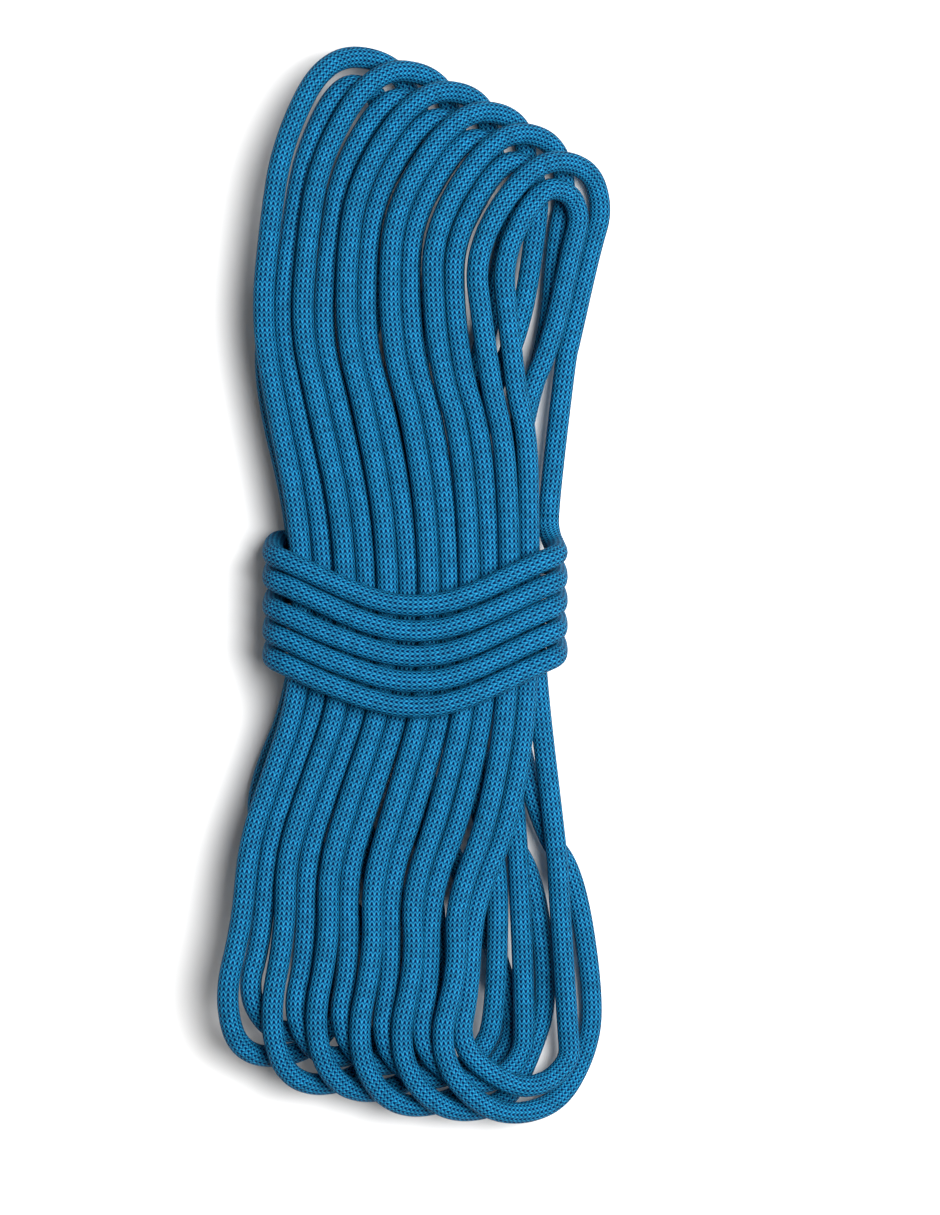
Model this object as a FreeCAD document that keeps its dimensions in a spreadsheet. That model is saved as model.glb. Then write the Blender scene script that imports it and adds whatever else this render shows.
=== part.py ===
import FreeCAD
import Part
import math
import os
import Sketcher

# A dynamic climbing rope coiled into a hank: twelve leaning loops drawn in at the waist, five wraps round it.
# The hank lies flat: its length runs along Y, its loops lean across X and it stands on the plane Z = 0.

Vector = FreeCAD.Vector
UP = Vector(0, 0, 1)
DOWN = Vector(0, 0, -1)
RIGHT = Vector(1, 0, 0)
LEFT = Vector(-1, 0, 0)
ALONG = Vector(0, 1, 0)
BACK = Vector(0, -1, 0)

document = FreeCAD.newDocument("climbing_rope")
sheet = document.addObject("Spreadsheet::Sheet", "sizes")

# Sizes in millimetres and degrees; counts are plain numbers
SIZES = (
    ("rope_diameter", 9.4, "diameter of the rope over its sheath"),
    ("core_diameter", 6.8, "diameter of the bundle of core strands inside the sheath"),
    ("cord_sides", 6, "flat sides that stand for the round section of a wound rope"),
    ("pair_count", 6, "pairs of loops, an outer and an inner one, that lean side by side"),
    ("waist_left", -57.0, "first strand at the waist, from the middle of the hank"),
    ("waist_place", -16.0, "the waist along the hank"),
    ("waist_pitch", 19.0, "from one pair of loops to the next at the waist"),
    ("waist_zigzag", 4.1, "how far outer front strands stand over inner ones at the waist"),
    ("waist_arch", 4.5, "how much higher the middle of the waist lies than its sides"),
    ("low_row", 14.9, "height of the lowest row of strands at the waist"),
    ("middle_row_step", 10.3, "from the lowest row of strands to the middle one"),
    ("front_row_step", 10.4, "from the middle row of strands to the front one"),
    ("outer_back_column", -0.1, "where an outer loop's back strand lies at the waist, in pitches"),
    ("inner_back_column", 0.87, "where an inner loop's back strand lies at the waist, in pitches"),
    ("last_back_column", 0.48, "where the last back strand lies at the waist, in pitches"),
    ("last_back_short", 26.0, "how far short of the waist's middle the last back strand's bend ends"),
    ("corner_height", 1.8, "height of the corner that a back bend rounds"),
    ("top_across", -33.0, "top of the first outer loop across the hank"),
    ("top_along", 231.0, "top of the first outer loop along the hank"),
    ("top_step_across", 20.3, "from one outer loop's top to the next, across"),
    ("top_step_along", -9.0, "from one outer loop's top to the next, along"),
    ("top_lean", 33.5, "slope of a top bend from front to back"),
    ("top_front_radius", 36.4, "front half of an outer top bend"),
    ("top_back_radius", 29.0, "back half of an outer top bend"),
    ("top_nest", 11.15, "from an outer loop's top to its inner loop's top, along"),
    ("top_front_nest", 14.2, "less radius in the front half of an inner top bend"),
    ("top_back_nest", 14.55, "less radius in the back half of an inner top bend"),
    ("top_nest_lift", 0.8, "height of an inner top over its outer one's"),
    ("top_nest_slide", -2.1, "slide of an inner top along its own slope"),
    ("bottom_across", -57.9, "bottom of the first outer loop across the hank"),
    ("bottom_along", -205.8, "bottom of the first outer loop along the hank"),
    ("bottom_step_across", 22.8, "from one outer loop's bottom to the next, across"),
    ("bottom_step_along", -5.0, "from one outer loop's bottom to the next, along"),
    ("bottom_lean", 35.6, "slope of a bottom bend from front to back"),
    ("bottom_front_radius", 34.0, "front half of an outer bottom bend"),
    ("bottom_back_radius", 28.3, "back half of an outer bottom bend"),
    ("bottom_nest", 12.0, "from an outer loop's bottom to its inner loop's bottom, along"),
    ("bottom_front_nest", 12.0, "less radius in the front half of an inner bottom bend"),
    ("bottom_back_nest", 16.3, "less radius in the back half of an inner bottom bend"),
    ("bottom_nest_lift", 4.0, "height of an inner bottom over its outer one's"),
    ("bottom_nest_slide", 3.0, "slide of an inner bottom along its own slope"),
    ("top_reach", 1.22, "length of a top bend's tangent as a share of its radius"),
    ("bottom_reach", 1.45, "length of a bottom bend's tangent as a share of its radius"),
    ("link_column", 0.81, "where the strand to the wraps comes down beside the last pair, in pitches"),
    ("link_place", 30.0, "where that strand leaves the loops, along the hank"),
    ("link_height", 17.2, "height of that strand there"),
    ("link_reach", 9.5, "reach of that strand's bend up the side of the first wrap"),
    ("wrap_count", 5, "turns round the waist"),
    ("wrap_first", 6.0, "first wrap's sides along the hank"),
    ("wrap_step", 11.0, "from one wrap to the next along the hank"),
    ("wrap_sag", 15.0, "how far a wrap's front dips towards the bottom of the hank"),
    ("wrap_left_clearance", 2.2, "from the hank's left strand to the left side of the wraps"),
    ("wrap_right_clearance", 2.6, "from the hank's right strand to the right side of the wraps"),
    ("wrap_rise_clearance", 1.2, "from the highest strand to the middle of the wraps"),
    ("wrap_shoulder_rise", 1.4, "where a wrap's sides bend over the front, above the front row"),
    ("wrap_right_heel_height", 24.0, "where a wrap comes up from under the right side"),
    ("wrap_left_heel_height", 16.0, "where a wrap bends under the left side"),
    ("wrap_corner", 12.0, "reach of a wrap's bend from its side to its front"),
    ("wrap_right_heel", 19.5, "reach of a wrap's bend from its underside to its right side"),
    ("wrap_left_heel", 11.8, "reach of a wrap's bend from its left side to its underside"),
    ("wraps_end_aside", 1.5, "how far the last turn's end lies aside from the turn before it"),
    ("stand_cut_share", 0.1, "depth of the flat that the wraps stand on, as a share of the diameter"),
    ("tail_length", 22.0, "straight end of the rope beyond its last turn"),
    ("sleeve_length", 16.0, "length of the shrunk sleeve on each end of the rope"),
    ("sleeve_wall", 0.4, "wall of the shrunk sleeve"),
    ("sleeve_clearance", 0.1, "round the rope, inside the sleeve"),
    ("core_clearance", 0.05, "round the core, inside the sheath"),
    ("sleeve_set_back", 3.0, "bare rope left between the sleeve and the fused tip"),
    ("tip_length", 3.0, "length of the fused tip"),
    ("tip_bevel", 1.6, "bevelled edge of the fused tip"),
    ("least_gap", 0.4, "least gap allowed between two strands"),
)
for row, (name, value, note) in enumerate(SIZES, start=1):
    sheet.set(f"A{row}", note)
    sheet.set(f"B{row}", str(value))
    sheet.setAlias(f"B{row}", name)
document.recompute()


def size(name):
    return float(sheet.get(name))


# Lines of arcs

def unit(vector):
    return vector * (1 / vector.Length)


class Station:
    """A place on the rope's line, its heading there and the reach of the bend on one side of it."""

    def __init__(self, place, heading, reach=0.0, bend_first=False):
        self.place = place
        self.heading = heading
        self.reach = reach
        self.bend_first = bend_first


def arc_between(start, heading, end):
    """The arc that leaves start along heading and passes end: its edge, radius, turn and centre."""
    chord = end - start
    side = chord - heading * chord.dot(heading)
    if side.Length < 1e-6 * chord.Length:
        return {"edge": Part.LineSegment(start, end).toShape(), "radius": math.inf, "turn": 0.0, "length": chord.Length}
    radius = chord.Length ** 2 / (2 * side.Length)
    turn = 2 * math.atan2(side.Length, chord.dot(heading))
    inward = unit(side)
    centre = start + inward * radius
    middle = centre + (heading * math.sin(turn / 2) - inward * math.cos(turn / 2)) * radius
    return {
        "edge": Part.Arc(start, middle, end).toShape(),
        "radius": radius,
        "turn": turn,
        "length": radius * turn,
        "centre": centre,
        "inward": inward,
    }


def biarc(first, second):
    """Two arcs from one station to the next; the second station's reach is the tangent of the tighter bend."""
    span = second.place - first.place
    turning = 1 - first.heading.dot(second.heading)
    near = second.reach
    if second.bend_first:
        far = (span.dot(span) / 2 - near * span.dot(first.heading)) / (span.dot(second.heading) + near * turning)
        from_start, from_end = near, far
    else:
        far = (span.dot(span) / 2 - near * span.dot(second.heading)) / (span.dot(first.heading) + near * turning)
        from_start, from_end = far, near
    corner_one = first.place + first.heading * from_start
    corner_two = second.place - second.heading * from_end
    joint = corner_one + (corner_two - corner_one) * (from_start / (from_start + from_end))
    joint_heading = unit(corner_two - corner_one)
    arcs = []
    for start, heading, end in ((first.place, first.heading, joint), (joint, joint_heading, second.place)):
        arc = arc_between(start, heading, end)
        arc["start"] = start
        arc["heading"] = heading
        arcs.append(arc)
    return arcs


def line_of(stations):
    arcs = []
    for first, second in zip(stations, stations[1:]):
        arcs += biarc(first, second)
    return arcs


def straight(start, heading, length):
    return {
        "edge": Part.LineSegment(start, start + heading * length).toShape(),
        "radius": math.inf,
        "turn": 0.0,
        "length": length,
        "start": start,
        "heading": heading,
    }


def points_of(arcs, step):
    """Points along a line of arcs, a step apart or less, with the distance along the line at each."""
    points = []
    travelled = 0.0
    for arc in arcs:
        count = max(1, math.ceil(arc["length"] / step))
        for number in range(count):
            share = number / count
            if arc["turn"] == 0.0:
                place = arc["start"] + arc["heading"] * (arc["length"] * share)
            else:
                angle = arc["turn"] * share
                offset = arc["heading"] * math.sin(angle) - arc["inward"] * math.cos(angle)
                place = arc["centre"] + offset * arc["radius"]
            points.append((place, travelled + arc["length"] * share))
        travelled += arc["length"]
    return points


def least_distance(points, others, apart):
    """Least distance between two lines' points; on one line, between points that lie apart along it."""
    cell = 2 * size("rope_diameter")
    grid = {}
    for place, along in others:
        key = (int(place.x // cell), int(place.y // cell), int(place.z // cell))
        grid.setdefault(key, []).append((place, along))
    least = math.inf
    same = points is others
    for place, along in points:
        cx, cy, cz = int(place.x // cell), int(place.y // cell), int(place.z // cell)
        for dx in (-1, 0, 1):
            for dy in (-1, 0, 1):
                for dz in (-1, 0, 1):
                    for other, other_along in grid.get((cx + dx, cy + dy, cz + dz), ()):
                        if same and abs(other_along - along) < apart:
                            continue
                        least = min(least, place.distanceToPoint(other))
    return least


# The loops

pair_count = int(size("pair_count"))
pitch = size("waist_pitch")
inner_column = 0.5
row_heights = {
    "low": size("low_row"),
    "middle": size("low_row") + size("middle_row_step"),
    "front": size("low_row") + size("middle_row_step") + size("front_row_step"),
}


def at_waist(column, row, raised=False):
    """A strand's place at the waist, where the rows arch over the middle of the hank."""
    middle_column = (pair_count - 1 + inner_column) / 2
    spread = (column - middle_column) / (pair_count / 2)
    height = row_heights[row] + size("waist_arch") * (1 - spread ** 2)
    if raised:
        height += size("waist_zigzag")
    return Vector(size("waist_left") + pitch * column, size("waist_place"), height)


def bend(end, pair, inner):
    """The outermost place of a loop's bend, its slope, and the radii of its front and back halves."""
    lean = math.radians(size(end + "_lean"))
    slope = Vector(math.cos(lean), 0, -math.sin(lean))
    front = size(end + "_front_radius")
    back = size(end + "_back_radius")
    place = Vector(
        size(end + "_across") + size(end + "_step_across") * pair,
        size(end + "_along") + size(end + "_step_along") * pair,
        size("corner_height") + back * size(end + "_reach") * math.sin(lean),
    )
    if inner:
        towards_waist = -1 if end == "top" else 1
        place = place + Vector(0, towards_waist * size(end + "_nest"), size(end + "_nest_lift"))
        place = place + slope * size(end + "_nest_slide")
        front -= size(end + "_front_nest")
        back -= size(end + "_back_nest")
    return place, slope, front, back


def loop_stations(pair, inner):
    """One loop: over the top from back to front, down the front, round the bottom and up the back."""
    reach = size("top_reach")
    place, slope, front, back = bend("top", pair, inner)
    column = pair + (inner_column if inner else 0)
    stations = [
        Station(place, slope * -1, back * reach),
        Station(at_waist(column, "front", not inner), BACK, front * reach, True),
    ]
    reach = size("bottom_reach")
    place, slope, front, back = bend("bottom", pair, inner)
    if not inner:
        upward = at_waist(pair + size("outer_back_column"), "low")
    elif pair < pair_count - 1:
        upward = at_waist(pair + size("inner_back_column"), "middle")
    else:
        upward = at_waist(pair + size("last_back_column"), "middle") + BACK * size("last_back_short")
    stations += [
        Station(place, slope, front * reach),
        Station(upward, ALONG, back * reach, True),
    ]
    return stations


link_place = Vector(
    size("waist_left") + pitch * (pair_count - 1 + size("link_column")),
    size("link_place"),
    size("link_height"),
)
rope_diameter = size("rope_diameter")
outer_order = range(pair_count - 1, -1, -1)
inner_order = range(pair_count)
stations = [Station(link_place + ALONG * rope_diameter, ALONG)]
for pair in outer_order:
    stations += loop_stations(pair, False)
for pair in inner_order:
    stations += loop_stations(pair, True)
hank_end = stations[-1].place
hank_line = [straight(link_place, ALONG, rope_diameter)]
hank_line += line_of(stations)
hank_line.append(straight(hank_end, ALONG, rope_diameter))

# The wraps

wrap_count = int(size("wrap_count"))
left_strand = at_waist(size("outer_back_column"), "low")
right_strand = at_waist(pair_count - 1 + inner_column, "front")
highest_row = row_heights["front"] + size("waist_arch") + size("waist_zigzag")
wrap_left = left_strand.x - rope_diameter - size("wrap_left_clearance")
wrap_right = right_strand.x + rope_diameter + size("wrap_right_clearance")
wrap_middle = (wrap_left + wrap_right) / 2
wrap_rise = highest_row + rope_diameter + size("wrap_rise_clearance")
shoulder = row_heights["front"] + size("wrap_shoulder_rise")


def upright(side, along, first_height, last_height):
    """A straight upright run on one side of a wrap."""
    heading = UP if last_height > first_height else DOWN
    first = Vector(side, along, first_height)
    last = Vector(side, along, last_height)
    return first, Station(last, heading, abs(last_height - first_height) / 4)


def wrap_stations(turn):
    """One wrap from the hank's right side: over the front, down the left and back under the waist."""
    along = size("wrap_first") - size("wrap_step") * turn
    corner = size("wrap_corner")
    under = rope_diameter * (0.5 - size("stand_cut_share"))
    first_right, last_right = upright(wrap_right, along, size("wrap_right_heel_height"), shoulder)
    first_left, last_left = upright(wrap_left, along, shoulder, size("wrap_left_heel_height"))
    if turn:
        rise = [Station(first_right, UP, size("wrap_right_heel")), last_right]
    else:
        rise = [Station(last_right.place, UP, size("link_reach"))]
    return rise + [
        Station(Vector(wrap_middle, along - size("wrap_sag"), wrap_rise), LEFT, corner, True),
        Station(first_left, DOWN, corner),
        last_left,
        Station(Vector(wrap_middle, along - size("wrap_step") / 2, under), RIGHT, size("wrap_left_heel"), True),
    ]


wrap_line_stations = [Station(link_place + BACK * rope_diameter, BACK)]
for turn in range(wrap_count):
    wrap_line_stations += wrap_stations(turn)
wraps_end = wrap_line_stations[-1].place
wraps_end.y -= size("wraps_end_aside")
wraps_end.z = rope_diameter / 2 + size("sleeve_clearance") + size("sleeve_wall")
wrap_line = [straight(link_place, BACK, rope_diameter)]
wrap_line += line_of(wrap_line_stations)
wrap_line.append(straight(wraps_end, RIGHT, rope_diameter))

# The tubes

CORD_STEP = 1.5


def tube(arcs):
    """A faceted tube along a line of arcs, swept in one pipe shell."""
    sides = int(size("cord_sides"))
    start = arcs[0]["start"]
    heading = arcs[0]["heading"]
    across = unit(heading.cross(UP))
    above = across.cross(heading)
    corners = []
    for number in range(sides):
        angle = 2 * math.pi * (number + 0.5) / sides
        offset = across * math.cos(angle) + above * math.sin(angle)
        corners.append(start + offset * (rope_diameter / 2))
    section = Part.makePolygon(corners + corners[:1])
    spine = Part.Wire([arc["edge"] for arc in arcs])
    return spine.makePipeShell([section], True, False)


def report_line(title, arcs):
    length = sum(arc["length"] for arc in arcs)
    tightest = min(arc["radius"] for arc in arcs)
    print(f"{title}: {length / 1000:.2f} m long, tightest bend {tightest:.1f} mm to the rope's middle")


# The rope's two ends: core in its sheath, a shrunk sleeve round it and a fused tip

EXPRESSIONS = {
    "rope_radius": "sizes.rope_diameter / 2",
    "bore_radius": "sizes.core_diameter / 2 + sizes.core_clearance",
    "core_radius": "sizes.core_diameter / 2",
    "sleeve_bore": "sizes.rope_diameter / 2 + sizes.sleeve_clearance",
    "sleeve_radius": "sizes.rope_diameter / 2 + sizes.sleeve_clearance + sizes.sleeve_wall",
}


def cylinder(name, radius, height):
    rod = document.addObject("Part::Cylinder", name)
    rod.setExpression("Radius", EXPRESSIONS[radius])
    rod.setExpression("Height", height)
    return rod


def ring(name, outer, bore, height):
    """A tube: the outer cylinder less its bore."""
    cut = document.addObject("Part::Cut", name)
    cut.Base = cylinder(name + "_outside", outer, height)
    cut.Tool = cylinder(name + "_bore", bore, height)
    return cut


def fused_tip(name):
    """A turned cap with a bevelled edge, as left by melting the rope's end."""
    body = document.addObject("PartDesign::Body", name)
    sketch = document.addObject("Sketcher::SketchObject", name + "_profile")
    body.addObject(sketch)
    sketch.AttachmentSupport = [(body.Origin.OriginFeatures[4], "")]
    sketch.MapMode = "FlatFace"
    radius = size("rope_diameter") / 2
    length = size("tip_length")
    bevel = size("tip_bevel")
    corners = (
        Vector(0, 0, 0),
        Vector(radius, 0, 0),
        Vector(radius, length - bevel, 0),
        Vector(radius - bevel, length, 0),
        Vector(0, length, 0),
    )
    for start, end in zip(corners, corners[1:] + corners[:1]):
        sketch.addGeometry(Part.LineSegment(start, end))
    base, side, slant, top, axis = range(5)
    for one, two in ((base, side), (side, slant), (slant, top), (top, axis), (axis, base)):
        sketch.addConstraint(Sketcher.Constraint("Coincident", one, 2, two, 1))
    sketch.addConstraint(Sketcher.Constraint("Coincident", base, 1, -1, 1))
    sketch.addConstraint(Sketcher.Constraint("Horizontal", base))
    sketch.addConstraint(Sketcher.Constraint("Vertical", side))
    sketch.addConstraint(Sketcher.Constraint("Horizontal", top))
    sketch.addConstraint(Sketcher.Constraint("Vertical", axis))
    for what, line, value, expression in (
        ("DistanceX", base, radius, "sizes.rope_diameter / 2"),
        ("DistanceY", side, length - bevel, "sizes.tip_length - sizes.tip_bevel"),
        ("DistanceX", slant, -bevel, "-sizes.tip_bevel"),
        ("DistanceY", slant, bevel, "sizes.tip_bevel"),
    ):
        number = sketch.addConstraint(Sketcher.Constraint(what, line, 1, line, 2, value))
        sketch.setExpression(f"Constraints[{number}]", expression)
    turned = body.newObject("PartDesign::Revolution", name + "_turned")
    turned.Profile = sketch
    turned.ReferenceAxis = (sketch, ["V_Axis"])
    turned.Angle = 360
    return body


def rope_end(name, start, heading):
    """The straight end beyond a winding: its four pieces, each on the rope's line."""
    turn = FreeCAD.Rotation(UP, heading)
    tail = size("tail_length")
    sleeve_start = tail - size("sleeve_set_back") - size("sleeve_length")
    pieces = (
        (ring(name + "_sheath", "rope_radius", "bore_radius", "sizes.tail_length"), 0),
        (cylinder(name + "_core", "core_radius", "sizes.tail_length"), 0),
        (ring(name + "_sleeve", "sleeve_radius", "sleeve_bore", "sizes.sleeve_length"), sleeve_start),
        (fused_tip(name + "_tip"), tail),
    )
    for piece, along in pieces:
        piece.Label = piece.Name
        piece.Placement = FreeCAD.Placement(start + heading * along, turn)
    return [piece for piece, along in pieces]


def line_end(arcs):
    last = arcs[-1]
    return last["start"] + last["heading"] * last["length"]


# The nodes

nodes = []
for name, arcs in (("rope_hank", hank_line), ("rope_wraps", wrap_line)):
    feature = document.addObject("Part::Feature", name)
    feature.Label = name
    shape = tube(arcs)
    low = shape.BoundBox.ZMin
    if low < 0:
        box = shape.BoundBox
        ground = Part.makeBox(box.XLength + 2, box.YLength + 2, 1 - low, Vector(box.XMin - 1, box.YMin - 1, low - 1))
        shape = shape.cut(ground)
    feature.Shape = shape
    feature.Placement = FreeCAD.Placement()
    nodes.append(feature)
nodes += rope_end("tucked_end", line_end(hank_line), ALONG)
nodes += rope_end("under_end", line_end(wrap_line), RIGHT)
document.recompute()

# Checks and files

report_line("loops", hank_line)
report_line("wraps", wrap_line)
hank_points = points_of(hank_line, CORD_STEP)
wrap_points = points_of(wrap_line, CORD_STEP)
shared = math.ceil(2 * rope_diameter / CORD_STEP)
for title, one, other in (
    ("loops to themselves", hank_points, hank_points),
    ("wraps to themselves", wrap_points, wrap_points),
    ("loops to wraps", hank_points[shared:], wrap_points[shared:]),
):
    gap = least_distance(one, other, 3 * rope_diameter) - rope_diameter
    print(f"least gap, {title}: {gap:.2f} mm", "" if gap > size("least_gap") else "(too small)")

os.makedirs("parts", exist_ok=True)
for node in nodes:
    if "Invalid" in node.State or "Error" in node.State:
        raise RuntimeError(f"{node.Label} did not recompute: {node.State}")
    if not node.Shape.isValid() or len(node.Shape.Solids) != 1:
        raise RuntimeError(f"{node.Label} is not one valid solid")
    node.Shape.exportStep(f"parts/{node.Label}.step")
    print(f"{node.Label}: {node.Shape.Volume / 1000:.2f} cm3, {len(node.Shape.Faces)} faces")
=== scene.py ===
import math

import bpy
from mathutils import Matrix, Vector


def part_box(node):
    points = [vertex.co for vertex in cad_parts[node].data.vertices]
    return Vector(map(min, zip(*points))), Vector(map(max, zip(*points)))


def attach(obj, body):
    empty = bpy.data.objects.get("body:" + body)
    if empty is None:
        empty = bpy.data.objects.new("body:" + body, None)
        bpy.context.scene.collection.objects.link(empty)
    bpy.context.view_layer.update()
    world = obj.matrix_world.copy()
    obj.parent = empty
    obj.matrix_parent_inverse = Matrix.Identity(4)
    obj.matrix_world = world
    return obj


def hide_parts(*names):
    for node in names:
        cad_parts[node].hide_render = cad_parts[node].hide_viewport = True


# A blue climbing rope in a flat hank, seen from straight above on a white table.

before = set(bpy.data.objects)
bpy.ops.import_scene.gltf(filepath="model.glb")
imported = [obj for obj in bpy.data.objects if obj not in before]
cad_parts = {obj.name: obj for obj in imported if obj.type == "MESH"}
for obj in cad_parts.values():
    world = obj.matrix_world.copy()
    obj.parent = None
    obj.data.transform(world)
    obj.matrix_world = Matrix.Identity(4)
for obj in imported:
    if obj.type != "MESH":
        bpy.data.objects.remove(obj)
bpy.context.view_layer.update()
scene = bpy.context.scene

MM = 0.001
RIGHT = Vector((1, 0, 0))
ALONG = Vector((0, 1, 0))
BACK = Vector((0, -1, 0))

# Camera

view_camera = bpy.data.cameras.new("camera")
camera = bpy.data.objects.new("camera", view_camera)
scene.collection.objects.link(camera)
scene.camera = camera
view_camera.lens = 109
view_camera.sensor_fit = "VERTICAL"
view_camera.sensor_height = 36
view_camera.sensor_width = 36
view_camera.clip_start = 0.1
view_camera.clip_end = 20
camera.location = (0.0192, -0.0098, 1.64)
camera.rotation_euler = (0, 0, 0)

# The rope's route, in millimetres and degrees

ROPE = 9.4
PAIRS = 6
TAIL = 22.0

# At the waist: the leftmost strand's place and the pairs' pitch, how much higher outer front strands lie
# than inner ones and the middle than the sides, and the rows' heights
WAIST_LEFT = -57.0
WAIST_PLACE = -16.0
WAIST_PITCH = 19.0
WAIST_ZIGZAG = 4.1
WAIST_ARCH = 4.5
ROWS = {"low": 14.9, "middle": 25.2, "front": 35.6}

# How far a strand lies from its pair's column, in pitches, and how far short the last strand ends
INNER_COLUMN = 0.5
OUTER_BACK_COLUMN = -0.1
INNER_BACK_COLUMN = 0.87
LAST_BACK_COLUMN = 0.48
LAST_BACK_SHORT = 26.0

# The bends at each end: the first pair's outermost place and the step to the next pair's, the lean from
# lying flat, and the distances to the front and back corners, which reach multiplies. Then, for an inner
# bend, how far it lies inside the outer one, how much less it measures at the front and at the back, how
# much higher it lies and how far down its slope
CORNER_HEIGHT = 1.8
ENDS = {
    "top": {
        "place": (-33.0, 231.0), "step": (20.3, -9.0), "lean": 33.5, "reach": 1.22,
        "front": 36.4, "back": 29.0, "nest": -12.4, "front_nest": 14.2, "back_nest": 14.55,
        "lift": 0.8, "slide": -2.1,
    },
    "bottom": {
        "place": (-57.9, -205.8), "step": (22.8, -5.0), "lean": 35.6, "reach": 1.45,
        "front": 34.0, "back": 28.3, "nest": 12.0, "front_nest": 12.0, "back_nest": 16.3,
        "lift": 4.0, "slide": 3.0,
    },
}

# Where the loops go over into the wraps, the wraps' left and right edges, and their end under the hank
LINK = Vector((53.39, 30.0, 17.2))
WRAP_LEFT = -67.0
WRAP_RIGHT = 57.4
UNDER_END = Vector((-5.5, -45.0, 5.2))

# Each wrap's places along the hank: at its right edge, at its lowest in the middle, at its left edge
WRAPS = [
    (14.0, -9.2, 14.0),
    (2.6, -20.2, 3.3),
    (-7.8, -31.1, -9.3),
    (-18.8, -42.0, -20.1),
    (-29.8, -52.9, -30.9),
]

# A wrap's listed points, each with its distance across from the edge that it is beside, or from the
# middle, its distance along from the wrap's own place there, and its height
WRAP_START = [(-0.6, 2.4, 25), (0, 0.4, 35)]
WRAP_RISE = [(-30, 9, 4.75), (-11, 8, 4.95), (-1.5, 6.8, 9.75), (0, 4, 19), (0, 0.6, 33)]
WRAP_RIGHT_SHOULDER = [(-1, -1.4, 43.5), (-8, -4.2, 50.2), (-21, -10.4, 53.4)]
WRAP_FRONT = [(20, 4.9, 54.8), (5, 0.4, 55), (-12, 0.2, 55), (-28, 4.6, 54.8)]
WRAP_LEFT_SHOULDER = [(21, -10.4, 53.4), (8, -4.2, 50.2), (1, -1.4, 43.5)]
WRAP_FALL = [(0, 0.6, 33), (0, 4, 19), (1.5, 6, 9.75), (11, 6, 4.95), (27, 5, 4.75)]

# In shares of a bend's reach, how far its first point lies from its outermost place and its second from
# its corner, then the space from the second to the third as a share of that from the first to the second
ROUND = (0.41, 0.59, 1.0)
CLOSE = (0.3, 0.7, 1.0)
SWEPT = (0.45, 0.9, 0.8)
CLOSE_SWEPT = (0.48, 1.15, 0.8)

# Points added to follow the photograph: where the wraps hold the strands, and where each pair's
# strands bow out beyond them, with the step from pair to pair
HELD_TOP = 22.0
HELD_BOTTOM = -44.0
BOWED_TOP = 118.0
BOWED_TOP_STEP = -7.0
BOWED_BACK = 126.0
BOWED_BACK_STEP = -4.0
BOWED_BOTTOM = -114.0
BOWED_BOTTOM_STEP = -5.0
BOWED_BOTTOM_BACK_STEP = -2.5

# How far each pair's legs are moved to the right, near their bend and farther from it: the outer loops'
# in the first row, the inner ones' in the second. A leg's last point has a share of the second move
LEG_END_SHARE = 0.6
TOP_FRONT_ASIDE = (
    ((0, 0), (-1.5, -2.5), (-2.5, -4), (-3.5, -6), (-5.5, -9), (-7.5, -12)),
    ((-1, -2), (-2.5, -4.5), (-4, -7), (-5.5, -9), (-7, -12), (-7, -14)),
)
TOP_BACK_ASIDE = (
    ((-1.5, -8), (-1, -4), (-0.5, -2), (0, 0), (0, 1), (0, -1)),
    ((-1.5, -7), (-2, -9), (-2, -9), (-1.5, -8), (0, 9), (0, -1)),
)
BOTTOM_FRONT_ASIDE = (
    ((0, 0), (-2.5, -4), (-5, -8), (-7, -12), (-9, -18), (-11, -22.5)),
    ((-3.5, -2), (-5.5, -6.5), (-7.5, -11.5), (-10.5, -16.5), (-14, -22), (-16, -27)),
)
BOTTOM_BACK_ASIDE = (
    ((-5, -7), (-4, -7), (-2, -3), (9, 7), (-3, 13), (2, 8)),
    ((-4, -7), (1, 2), (2.5, 4), (3, 8), (1.5, -5), (4, -2)),
)

# At places along the hank, its left edge and how far that edge moves, then the same for its right edge.
# From the left to the right the move changes slowly at first, by this power of the share across
BOW_POWER = 1.8
BOW = [
    (-230, -40, -12, 90, -14),
    (-206, -67, -6, 85, -11),
    (-190, -83, 0, 80, -2),
    (-165, -83, 2, 76, 8),
    (-145, -77, -3, 70, 16),
    (-120, -68, -11, 60, 18),
    (-95, -62, -14, 50, 13),
    (-75, -59, -9, 47, 5),
    (-60, -58, -2, 47, 2),
    (-44, -58, 3.5, 47, -2.5),
    (22, -58, 3.5, 47, -2.5),
    (36, -58, 1, 47, 0),
    (55, -58, -3, 47, 4),
    (85, -58, -10, 48, 12),
    (115, -60, -12, 60, 7),
    (140, -62, -8, 75, -3),
    (167, -65, -2, 86, -10),
    (190, -66, 4, 80, -9),
    (211, -64, 8, 60, 0),
    (232, -50, 6, 0, 6),
]

# At places across the hank, how far the tops and the bottoms of the loops move along it. The move grows
# from nothing over a stretch that starts this far from the middle
LIFT_START = 150.0
LIFT_STRETCH = 40.0
TOP_LIFT = [(-40, 0), (-13, 4), (45, 4), (70, 0)]
BOTTOM_LIFT = [(-60, 0), (-36, -8), (-12, -6), (10, -7.5), (33, -4.5), (56, -0.5)]


def between(table, key):
    """A table's values at a key, in proportion between its rows."""
    for (one, *before), (two, *after) in zip(table, table[1:]):
        if key <= two:
            break
    share = min(max((key - one) / (two - one), 0), 1)
    return [low + (high - low) * share for low, high in zip(before, after)]


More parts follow.
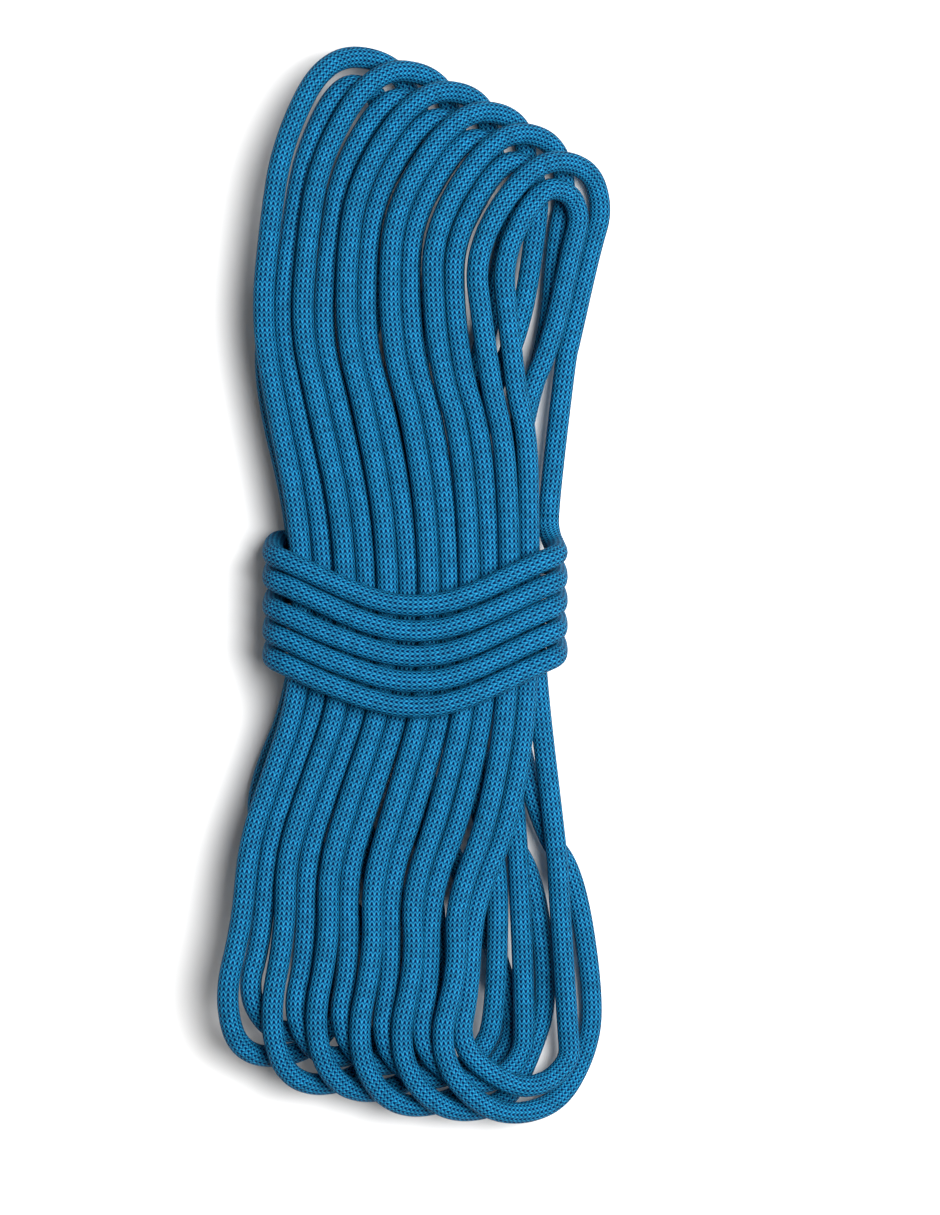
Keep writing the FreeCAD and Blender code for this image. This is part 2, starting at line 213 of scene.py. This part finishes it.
def followed(place, across):
    """A point moved by given distances to where the photograph shows its strand."""
    left, left_move, right, right_move = between(BOW, place.y)
    share = min(max((place.x - left) / (right - left), 0), 1)
    move = Vector((left_move + (right_move - left_move) * share ** BOW_POWER, 0, 0))
    lifts = TOP_LIFT if place.y > 0 else BOTTOM_LIFT
    grown = min(max((abs(place.y) - LIFT_START) / LIFT_STRETCH, 0), 1)
    move.y = between(lifts, across)[0] * grown
    return place + move


def at_waist(column, row, raised=False):
    """A strand's place at the waist, where the rows arch over the middle of the hank."""
    middle = (PAIRS - 1 + INNER_COLUMN) / 2
    spread = (column - middle) / (PAIRS / 2)
    height = ROWS[row] + WAIST_ARCH * (1 - spread ** 2)
    if raised:
        height += WAIST_ZIGZAG
    return Vector((WAIST_LEFT + WAIST_PITCH * column, WAIST_PLACE, height))


def bend(end, pair, inner):
    """The outermost place of a loop's bend, its slope, and how far its front and back corners reach."""
    sizes = ENDS[end]
    lean = math.radians(sizes["lean"])
    slope = Vector((math.cos(lean), 0, -math.sin(lean)))
    front, back = sizes["front"], sizes["back"]
    place = Vector((
        sizes["place"][0] + sizes["step"][0] * pair,
        sizes["place"][1] + sizes["step"][1] * pair,
        CORNER_HEIGHT + back * sizes["reach"] * math.sin(lean),
    ))
    if inner:
        place += Vector((0, sizes["nest"], sizes["lift"])) + slope * sizes["slide"]
        front -= sizes["front_nest"]
        back -= sizes["back_nest"]
    return place, slope, front * sizes["reach"], back * sizes["reach"]


def corners(first, heading, second, end_heading, reach, bend_first):
    """The route's two corners between two places, with a set distance to the one beside the bend."""
    span = second - first
    turning = 1 - heading.dot(end_heading)
    if bend_first:
        far = (span.dot(span) / 2 - reach * span.dot(heading)) / (span.dot(end_heading) + reach * turning)
        return first + heading * reach, second - end_heading * far
    far = (span.dot(span) / 2 - reach * span.dot(end_heading)) / (span.dot(heading) + reach * turning)
    return first + heading * far, second - end_heading * reach


def leg_points(place, corner, leg, shape, bowed, aside):
    """From a bend's outermost place round its corner and down its leg, which is moved aside."""
    reach = (corner - place).length
    run = leg - corner
    down = run.normalized()
    first = place.lerp(corner, shape[0])
    second = corner + down * reach * shape[1]
    third = second + down * (second - first).length * shape[2]
    points = [first, second, third, corner + run * (bowed - corner.y) / run.y, leg]
    near, far = aside
    moves = (0, near, (near + far) / 2, far, far * LEG_END_SHARE)
    return [point + RIGHT * move for point, move in zip(points, moves)]


def loop_points(start, pair, inner):
    """One loop: over the top from back to front, down the front, round the bottom and up the back."""
    place, slope, front, back = bend("top", pair, inner)
    column = pair + (INNER_COLUMN if inner else 0)
    waist = at_waist(column, "front", not inner)
    leg, corner = corners(start, ALONG, place, -slope, back, False)
    bowed = BOWED_BACK + BOWED_BACK_STEP * pair
    shape = CLOSE if inner else ROUND
    top = leg_points(place, corner, leg, shape, bowed, TOP_BACK_ASIDE[inner][pair])[::-1]
    corner, leg = corners(place, -slope, waist, BACK, front, True)
    bowed = BOWED_TOP + BOWED_TOP_STEP * pair
    shape = CLOSE_SWEPT if inner else SWEPT
    top += leg_points(place, corner, leg, shape, bowed, TOP_FRONT_ASIDE[inner][pair])
    top += [Vector((waist.x, HELD_TOP, waist.z))]
    points = [followed(point, place.x) for point in top]
    place, slope, front, back = bend("bottom", pair, inner)
    if not inner:
        upward = at_waist(pair + OUTER_BACK_COLUMN, "low")
    elif pair < PAIRS - 1:
        upward = at_waist(pair + INNER_BACK_COLUMN, "middle")
    else:
        upward = at_waist(pair + LAST_BACK_COLUMN, "middle") + BACK * LAST_BACK_SHORT
    leg, corner = corners(waist, BACK, place, slope, front, False)
    bowed = BOWED_BOTTOM + BOWED_BOTTOM_STEP * pair
    bottom = [Vector((waist.x, HELD_BOTTOM, waist.z))]
    bottom += leg_points(place, corner, leg, ROUND, bowed, BOTTOM_FRONT_ASIDE[inner][pair])[::-1]
    corner, leg = corners(place, slope, upward, ALONG, back, True)
    bowed = BOWED_BOTTOM + BOWED_BOTTOM_BACK_STEP * pair
    bottom += leg_points(place, corner, leg, ROUND, bowed, BOTTOM_BACK_ASIDE[inner][pair])
    if not inner or pair < PAIRS - 1:
        bottom += [Vector((upward.x, HELD_BOTTOM, upward.z)), Vector((upward.x, HELD_TOP, upward.z))]
    points += [followed(point, place.x) for point in bottom]
    return points, upward


def hank_points():
    """Outer loops from the right to the left, then inner loops from the left to the right."""
    start = LINK + ALONG * ROPE
    points = []
    for pair in range(PAIRS - 1, -1, -1):
        more, start = loop_points(start, pair, False)
        points += more
    outer_count = len(points)
    for pair in range(PAIRS):
        more, start = loop_points(start, pair, True)
        points += more
    return points, outer_count, start


def wrap_points():
    """The wraps: up the right side, over the front, down the left side and back under the waist."""
    points = [
        LINK + Vector((0.0, 1.0, 0.0)),
        LINK + Vector((1.0, -8.0, 0.5)),
    ]
    for turn, (right, sag, left) in enumerate(WRAPS):
        rise = WRAP_RISE if turn else WRAP_START
        for edge, place, offsets in (
            (WRAP_RIGHT, right, rise + WRAP_RIGHT_SHOULDER),
            (0, sag, WRAP_FRONT),
            (WRAP_LEFT, left, WRAP_LEFT_SHOULDER + WRAP_FALL),
        ):
            points += [Vector((edge + across, place + along, height)) for across, along, height in offsets]
    return points


loops, outer_count, tucked = hank_points()
route = [tucked + ALONG * (TAIL + ROPE), tucked + ALONG * ROPE]
route += loops[::-1]
inner_count = len(route) - outer_count
route += wrap_points()
route += [UNDER_END, UNDER_END + RIGHT * (TAIL + ROPE)]

rope_line = bpy.data.curves.new("rope_line", "CURVE")
rope_line.dimensions = "3D"
rope_line.resolution_u = 24
spline = rope_line.splines.new("NURBS")
spline.points.add(len(route) - 1)
for point, place in zip(spline.points, route):
    point.co = (*(place * MM), 1)
spline.order_u = 3
spline.use_endpoint_u = True
line_object = bpy.data.objects.new("rope_line", rope_line)
scene.collection.objects.link(line_object)
line_mesh = bpy.data.meshes.new_from_object(line_object)
line = [vertex.co.copy() for vertex in line_mesh.vertices]
bpy.data.objects.remove(line_object)


def nearest(points, place):
    """Index of the point nearest to a place."""
    return min(range(len(points)), key=lambda number: (points[number] - place).length_squared)


# The rope's tube, in rows of points a little apart along the line, in metres, and no lower than the floor

RADIUS = ROPE / 2 * MM
SIDES = 24
ROW_STEP = 0.0015
LOWEST = 0.0002


def even_rows(points, step):
    """Places an even step apart along a line of points."""
    rows = [points[0]]
    left = step
    for one, two in zip(points, points[1:]):
        span = (two - one).length
        reached = left
        while reached <= span:
            rows.append(one.lerp(two, reached / span))
            reached += step
        left = reached - span
    return rows


def frames_along(rows):
    """A direction across the line at each row, carried along without twist."""
    across = RIGHT
    frames = []
    for number, place in enumerate(rows):
        before = rows[max(number - 1, 0)]
        after = rows[min(number + 1, len(rows) - 1)]
        heading = (after - before).normalized()
        across = (across - heading * across.dot(heading)).normalized()
        frames.append((place, heading, across))
    return frames


rows = even_rows(line, ROW_STEP)
frames = frames_along(rows)


def tube(name, first, last):
    """A closed tube over part of the rope's rows, with its braid laid out on its UV map."""
    vertices = []
    for place, heading, across in frames[first:last + 1]:
        beside = heading.cross(across)
        for side in range(SIDES):
            angle = 2 * math.pi * side / SIDES
            point = place + (across * math.cos(angle) + beside * math.sin(angle)) * RADIUS
            point.z = max(point.z, LOWEST)
            vertices.append(point)
    count = last - first
    faces = []
    layout = []
    for row in range(count):
        along = (first + row) * ROW_STEP
        for side in range(SIDES):
            after = (side + 1) % SIDES
            faces.append((
                row * SIDES + side,
                row * SIDES + after,
                (row + 1) * SIDES + after,
                (row + 1) * SIDES + side,
            ))
            layout += [
                (side / SIDES, along),
                ((side + 1) / SIDES, along),
                ((side + 1) / SIDES, along + ROW_STEP),
                (side / SIDES, along + ROW_STEP),
            ]
    faces.append(tuple(range(SIDES))[::-1])
    faces.append(tuple(range(count * SIDES, (count + 1) * SIDES)))
    layout += [(0.5, first * ROW_STEP)] * SIDES
    layout += [(0.5, last * ROW_STEP)] * SIDES
    mesh = bpy.data.meshes.new(name)
    mesh.from_pydata(vertices, [], faces)
    smooth = [True] * (len(faces) - 2) + [False, False]
    mesh.polygons.foreach_set("use_smooth", smooth)
    uv = mesh.uv_layers.new(name="braid")
    uv.data.foreach_set("uv", [number for pair in layout for number in pair])
    mesh.update()
    piece = bpy.data.objects.new(name, mesh)
    scene.collection.objects.link(piece)
    return piece, [tuple(place) for place in rows[first:last + 1:2]]


inner_last = nearest(rows, (route[inner_count - 1] + route[inner_count]) / 2 * MM)
hank_last = nearest(rows, LINK * MM)
rope_inner, inner_path = tube("rope_inner_loops", 0, inner_last)
rope_outer, outer_path = tube("rope_outer_loops", inner_last, hank_last)
rope_wraps, wraps_path = tube("rope_wraps_round_waist", hank_last, len(rows) - 1)


def turned(name, start, end, profile):
    """A piece turned about the line from start to end; profile has shares along it and radii in mm."""
    bpy.ops.object.select_all(action="DESELECT")
    bpy.ops.mesh.primitive_circle_add(
        vertices=SIDES, radius=profile[0][1] * MM, fill_type="NGON",
        location=start, rotation=(end - start).normalized().to_track_quat("Z", "Y").to_euler(),
    )
    piece = bpy.context.object
    piece.name = name
    piece.data.name = name
    bpy.ops.object.transform_apply()
    bpy.ops.object.mode_set(mode="EDIT")
    for (share, radius), (next_share, next_radius) in zip(profile, profile[1:]):
        step = (end - start) * (next_share - share)
        centre = start.lerp(end, next_share)
        bpy.ops.mesh.extrude_region_move(TRANSFORM_OT_translate={"value": step})
        bpy.ops.transform.resize(value=[next_radius / radius] * 3, center_override=centre)
    bpy.ops.mesh.select_all(action="SELECT")
    bpy.ops.mesh.normals_make_consistent(inside=False)
    bpy.ops.object.mode_set(mode="OBJECT")
    bpy.ops.object.shade_smooth()
    return piece


def end_line(node_name, along):
    """The middle line of one of the CAD's end nodes, from its box."""
    low, high = (Vector(corner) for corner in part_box(node_name))
    middle = (low + high) / 2
    half = along * (high - low).dot(along) / 2
    return middle - half, middle + half


SLEEVE_PROFILE = [
    (0.0, 4.7), (0.0, 5.0), (0.04, 5.16), (0.3, 5.12), (0.5, 5.18),
    (0.75, 5.1), (0.96, 5.16), (1.0, 5.0), (1.0, 4.7),
]
TIP_PROFILE = [(0.0, 4.6), (0.12, 4.74), (0.4, 4.68), (0.62, 4.3), (0.82, 3.5), (0.94, 2.4), (1.0, 1.0)]

tucked_sleeve = turned("tucked_sleeve", *end_line("tucked_end_sleeve", ALONG), SLEEVE_PROFILE)
tucked_tip = turned("tucked_melted_tip", *end_line("tucked_end_tip", ALONG), TIP_PROFILE)
under_sleeve = turned("under_sleeve", *end_line("under_end_sleeve", RIGHT), SLEEVE_PROFILE)
under_tip = turned("under_melted_tip", *end_line("under_end_tip", RIGHT), TIP_PROFILE)

# Materials

# The sheath's colours from the depths between its strokes up: navy in the depths as painted shade, the
# yarn's own teal, and a lighter crest as a painted highlight. Then the braid's columns round the rope and
# the length of its cells in metres, how far a stroke slants and how low it gets, and how sharply a dot
# ends across and along the rope
SHEATH_SHADE_NAVY = (0.0001, 0.003, 0.030)
SHEATH_TEAL = (0.0003, 0.054, 0.156)
SHEATH_CREST_HIGHLIGHT = (0.020, 0.264, 0.455)
BRAID_COLUMNS = 14
BRAID_CELL = 0.0022
STROKE_SLANT = 1.4
STROKE_LOWEST = 0.4
DOT_ACROSS = 4.2
DOT_ALONG = 9.0


def node(tree, kind, place, **values):
    """Adds a node; values name its properties, and inputs its sockets' values."""
    made = tree.nodes.new(kind)
    made.location = place
    inputs = values.pop("inputs", {})
    for name, value in values.items():
        setattr(made, name, value)
    for name, value in inputs.items():
        made.inputs[name].default_value = value
    return made


def maths(tree, operation, place, *sources):
    """A Math node whose inputs are numbers or other nodes' outputs."""
    made = tree.nodes.new("ShaderNodeMath")
    made.operation = operation
    made.location = place
    for socket, source in zip(made.inputs, sources):
        if isinstance(source, (int, float)):
            socket.default_value = source
        else:
            tree.links.new(source, socket)
    return made.outputs[0]


def shades(tree, place, source, *stops):
    """A ramp's colour for a source: each stop is a position and its colour."""
    ramp = node(tree, "ShaderNodeValToRGB", place)
    for element, (position, colour) in zip(ramp.color_ramp.elements, (stops[0], stops[-1])):
        element.position = position
        element.color = (*colour, 1)
    for position, colour in stops[1:-1]:
        ramp.color_ramp.elements.new(position).color = (*colour, 1)
    tree.links.new(source, ramp.inputs[0])
    return ramp.outputs[0]


def bumped(tree, surface, height, strength, depth):
    """Relief on a surface, from a height."""
    bump = node(tree, "ShaderNodeBump", (-300, -200), inputs={"Strength": strength, "Distance": depth})
    tree.links.new(height, bump.inputs["Height"])
    tree.links.new(bump.outputs[0], surface.inputs["Normal"])


def braid_group():
    """A braided sheath: columns of V strokes with a low dot between each two, along the UV map."""
    group = bpy.data.node_groups.new("braid", "ShaderNodeTree")
    for name in ("Columns", "Cell length"):
        group.interface.new_socket(name, in_out="INPUT", socket_type="NodeSocketFloat")
    for name in ("Height", "Noise"):
        group.interface.new_socket(name, in_out="OUTPUT", socket_type="NodeSocketFloat")
    start = node(group, "NodeGroupInput", (-1400, 0))
    end = node(group, "NodeGroupOutput", (1200, 0))
    uv = node(group, "ShaderNodeUVMap", (-1400, -200), uv_map="braid")
    parts = node(group, "ShaderNodeSeparateXYZ", (-1200, -200))
    group.links.new(uv.outputs[0], parts.inputs[0])
    column = maths(group, "MULTIPLY", (-1000, 0), parts.outputs["X"], start.outputs["Columns"])
    row = maths(group, "DIVIDE", (-1000, -200), parts.outputs["Y"], start.outputs["Cell length"])
    number = maths(group, "FLOOR", (-800, 100), column)
    inside = maths(group, "FRACT", (-800, -50), column)
    centred = maths(group, "SUBTRACT", (-600, -50), inside, 0.5)
    aside = maths(group, "ABSOLUTE", (-400, -50), centred)
    slid = maths(group, "MULTIPLY_ADD", (-200, -100), aside, STROKE_SLANT, row)
    phase = maths(group, "FRACT", (0, -100), slid)
    wave = maths(group, "PINGPONG", (150, -100), phase, 0.5)
    ridge = maths(group, "MULTIPLY", (300, -100), wave, 2.0)
    rounded = maths(group, "MULTIPLY_ADD", (450, -100), ridge, 1 - STROKE_LOWEST, STROKE_LOWEST)
    cell = maths(group, "FRACT", (0, -300), row)
    lengthwise = maths(group, "PINGPONG", (150, -300), cell, 0.5)
    lengthwise_square = maths(group, "MULTIPLY", (300, -300), lengthwise, lengthwise)
    crosswise = maths(group, "MULTIPLY", (0, -450), aside, DOT_ACROSS)
    crosswise_square = maths(group, "MULTIPLY", (150, -450), crosswise, crosswise)
    spread = maths(group, "MULTIPLY_ADD", (450, -300), lengthwise_square, DOT_ALONG, crosswise_square)
    faded = maths(group, "MULTIPLY", (600, -300), spread, -1.0)
    dot = maths(group, "EXPONENT", (750, -300), faded)
    outside = maths(group, "SUBTRACT", (900, -200), 1.0, dot)
    height = maths(group, "MULTIPLY", (1050, -100), rounded, outside)
    stroke_number = maths(group, "FLOOR", (0, -600), slid)
    code = node(group, "ShaderNodeCombineXYZ", (150, -600))
    group.links.new(number, code.inputs["X"])
    group.links.new(stroke_number, code.inputs["Y"])
    noise = node(group, "ShaderNodeTexWhiteNoise", (300, -600), noise_dimensions="2D")
    group.links.new(code.outputs[0], noise.inputs["Vector"])
    group.links.new(height, end.inputs["Height"])
    group.links.new(noise.outputs["Value"], end.inputs["Noise"])
    return group


braid = braid_group()


def new_material(name):
    """A material and its surface's shader."""
    material = bpy.data.materials.new(name)
    material.use_nodes = True
    return material, material.node_tree.nodes["Principled BSDF"]


def sheath_material():
    """Teal blue braided yarn: bright strokes with a painted highlight on their crests, dark navy dots and
    dips of painted shade, and slightly uneven colour.
    """
    material, surface = new_material("sheath_yarn")
    tree = material.node_tree
    cells = node(tree, "ShaderNodeGroup", (-900, 0), node_tree=braid, inputs={
        "Columns": BRAID_COLUMNS, "Cell length": BRAID_CELL,
    })
    height = cells.outputs["Height"]
    # Colour by the braid's height: navy painted shade in the dots and the dips between strokes, the yarn's
    # teal, and a lighter painted highlight on the crests
    colour = shades(
        tree, (-600, 200), height, (0.15, SHEATH_SHADE_NAVY), (0.5, SHEATH_TEAL), (0.95, SHEATH_CREST_HIGHLIGHT),
    )
    uneven = node(tree, "ShaderNodeMapRange", (-600, -100), inputs={"To Min": 0.8, "To Max": 1.2})
    tree.links.new(cells.outputs["Noise"], uneven.inputs["Value"])
    tint = node(tree, "ShaderNodeHueSaturation", (-300, 200))
    tree.links.new(colour, tint.inputs["Color"])
    tree.links.new(uneven.outputs[0], tint.inputs["Value"])
    tree.links.new(tint.outputs[0], surface.inputs["Base Color"])
    bumped(tree, surface, height, 0.8, 0.0004)
    surface.inputs["Roughness"].default_value = 0.7
    surface.inputs["Specular IOR Level"].default_value = 0.05
    return material


def core_material():
    """White core yarn in thin twisted strands."""
    material, surface = new_material("core_yarn")
    tree = material.node_tree
    place = node(tree, "ShaderNodeTexCoord", (-900, 0))
    wave = node(tree, "ShaderNodeTexWave", (-600, 0), bands_direction="DIAGONAL", inputs={
        "Scale": 700.0, "Distortion": 1.5, "Detail": 2.0,
    })
    tree.links.new(place.outputs["Object"], wave.inputs["Vector"])
    height = wave.outputs["Fac"]
    colour = shades(tree, (-300, 100), height, (0, (0.45, 0.44, 0.41)), (1, (0.86, 0.85, 0.82)))
    tree.links.new(colour, surface.inputs["Base Color"])
    bumped(tree, surface, height, 0.6, 0.0002)
    surface.inputs["Roughness"].default_value = 0.85
    return material


def paper_material():
    """Matt white paper."""
    material, surface = new_material("white_paper")
    surface.inputs["Base Color"].default_value = (0.9, 0.9, 0.9, 1)
    surface.inputs["Roughness"].default_value = 0.9
    return material


def plastic_material(name, dark, light, roughness, ripple, depth):
    """Plastic that shrank or melted: two shades and a shallow ripple from one noise."""
    material, surface = new_material(name)
    tree = material.node_tree
    place = node(tree, "ShaderNodeTexCoord", (-900, 0))
    noise = node(tree, "ShaderNodeTexNoise", (-600, 0), inputs={"Scale": ripple, "Detail": 4.0})
    tree.links.new(place.outputs["Object"], noise.inputs["Vector"])
    height = noise.outputs["Fac"]
    colour = shades(tree, (-300, 100), height, (0.35, dark), (0.65, light))
    tree.links.new(colour, surface.inputs["Base Color"])
    bumped(tree, surface, height, 0.5, depth)
    surface.inputs["Roughness"].default_value = roughness
    return material


sheath = sheath_material()
core = core_material()
sleeve_film = plastic_material(
    "shrunk_sleeve", dark=(0.004, 0.018, 0.035), light=(0.010, 0.035, 0.060),
    roughness=0.35, ripple=260.0, depth=0.0001,
)
melted = plastic_material(
    "melted_yarn", dark=(0.001, 0.012, 0.035), light=(0.006, 0.060, 0.130),
    roughness=0.25, ripple=500.0, depth=0.0004,
)

# What each piece is made of, and the CAD nodes that it stands for

finishes = [
    (rope_inner, sheath, "rope_sheath"),
    (rope_outer, sheath, "rope_sheath"),
    (rope_wraps, sheath, "rope_sheath"),
    (tucked_sleeve, sleeve_film, "end_sleeve"),
    (tucked_tip, melted, "fused_tip"),
    (under_sleeve, sleeve_film, "end_sleeve"),
    (under_tip, melted, "fused_tip"),
]
for piece, material, slot_name in finishes:
    piece.data.materials.append(material)
    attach(piece, "rope")

cores = [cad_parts[name] for name in ("tucked_end_core", "under_end_core")]
for piece in cores:
    piece.data.materials.clear()
    piece.data.materials.append(core)

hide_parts("rope_hank", "tucked_end_sheath")
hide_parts("rope_hank")
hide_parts("rope_wraps", "under_end_sheath")
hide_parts("tucked_end_sleeve")
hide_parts("tucked_end_tip")
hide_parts("under_end_sleeve")
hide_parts("under_end_tip")

# Floor and light

bpy.ops.object.select_all(action="DESELECT")
bpy.ops.mesh.primitive_plane_add(size=6)
floor = bpy.context.object
floor.name = "floor"
floor.data.materials.append(paper_material())

world = bpy.data.worlds.new("sky")
scene.world = world
world.use_nodes = True
sky = world.node_tree.nodes["Background"]
sky.inputs["Color"].default_value = (1, 0.94, 0.87, 1)
sky.inputs["Strength"].default_value = 0.17

key_light = bpy.data.lights.new("key", "AREA")
key_light.shape = "DISK"
key_light.size = 1.0
key_light.energy = 63
key = bpy.data.objects.new("key", key_light)
scene.collection.objects.link(key)
key.location = (0.62, 0.12, 1.7)
key.rotation_euler = (-key.location).to_track_quat("-Z", "Y").to_euler()

scene.view_settings.view_transform = "Standard"
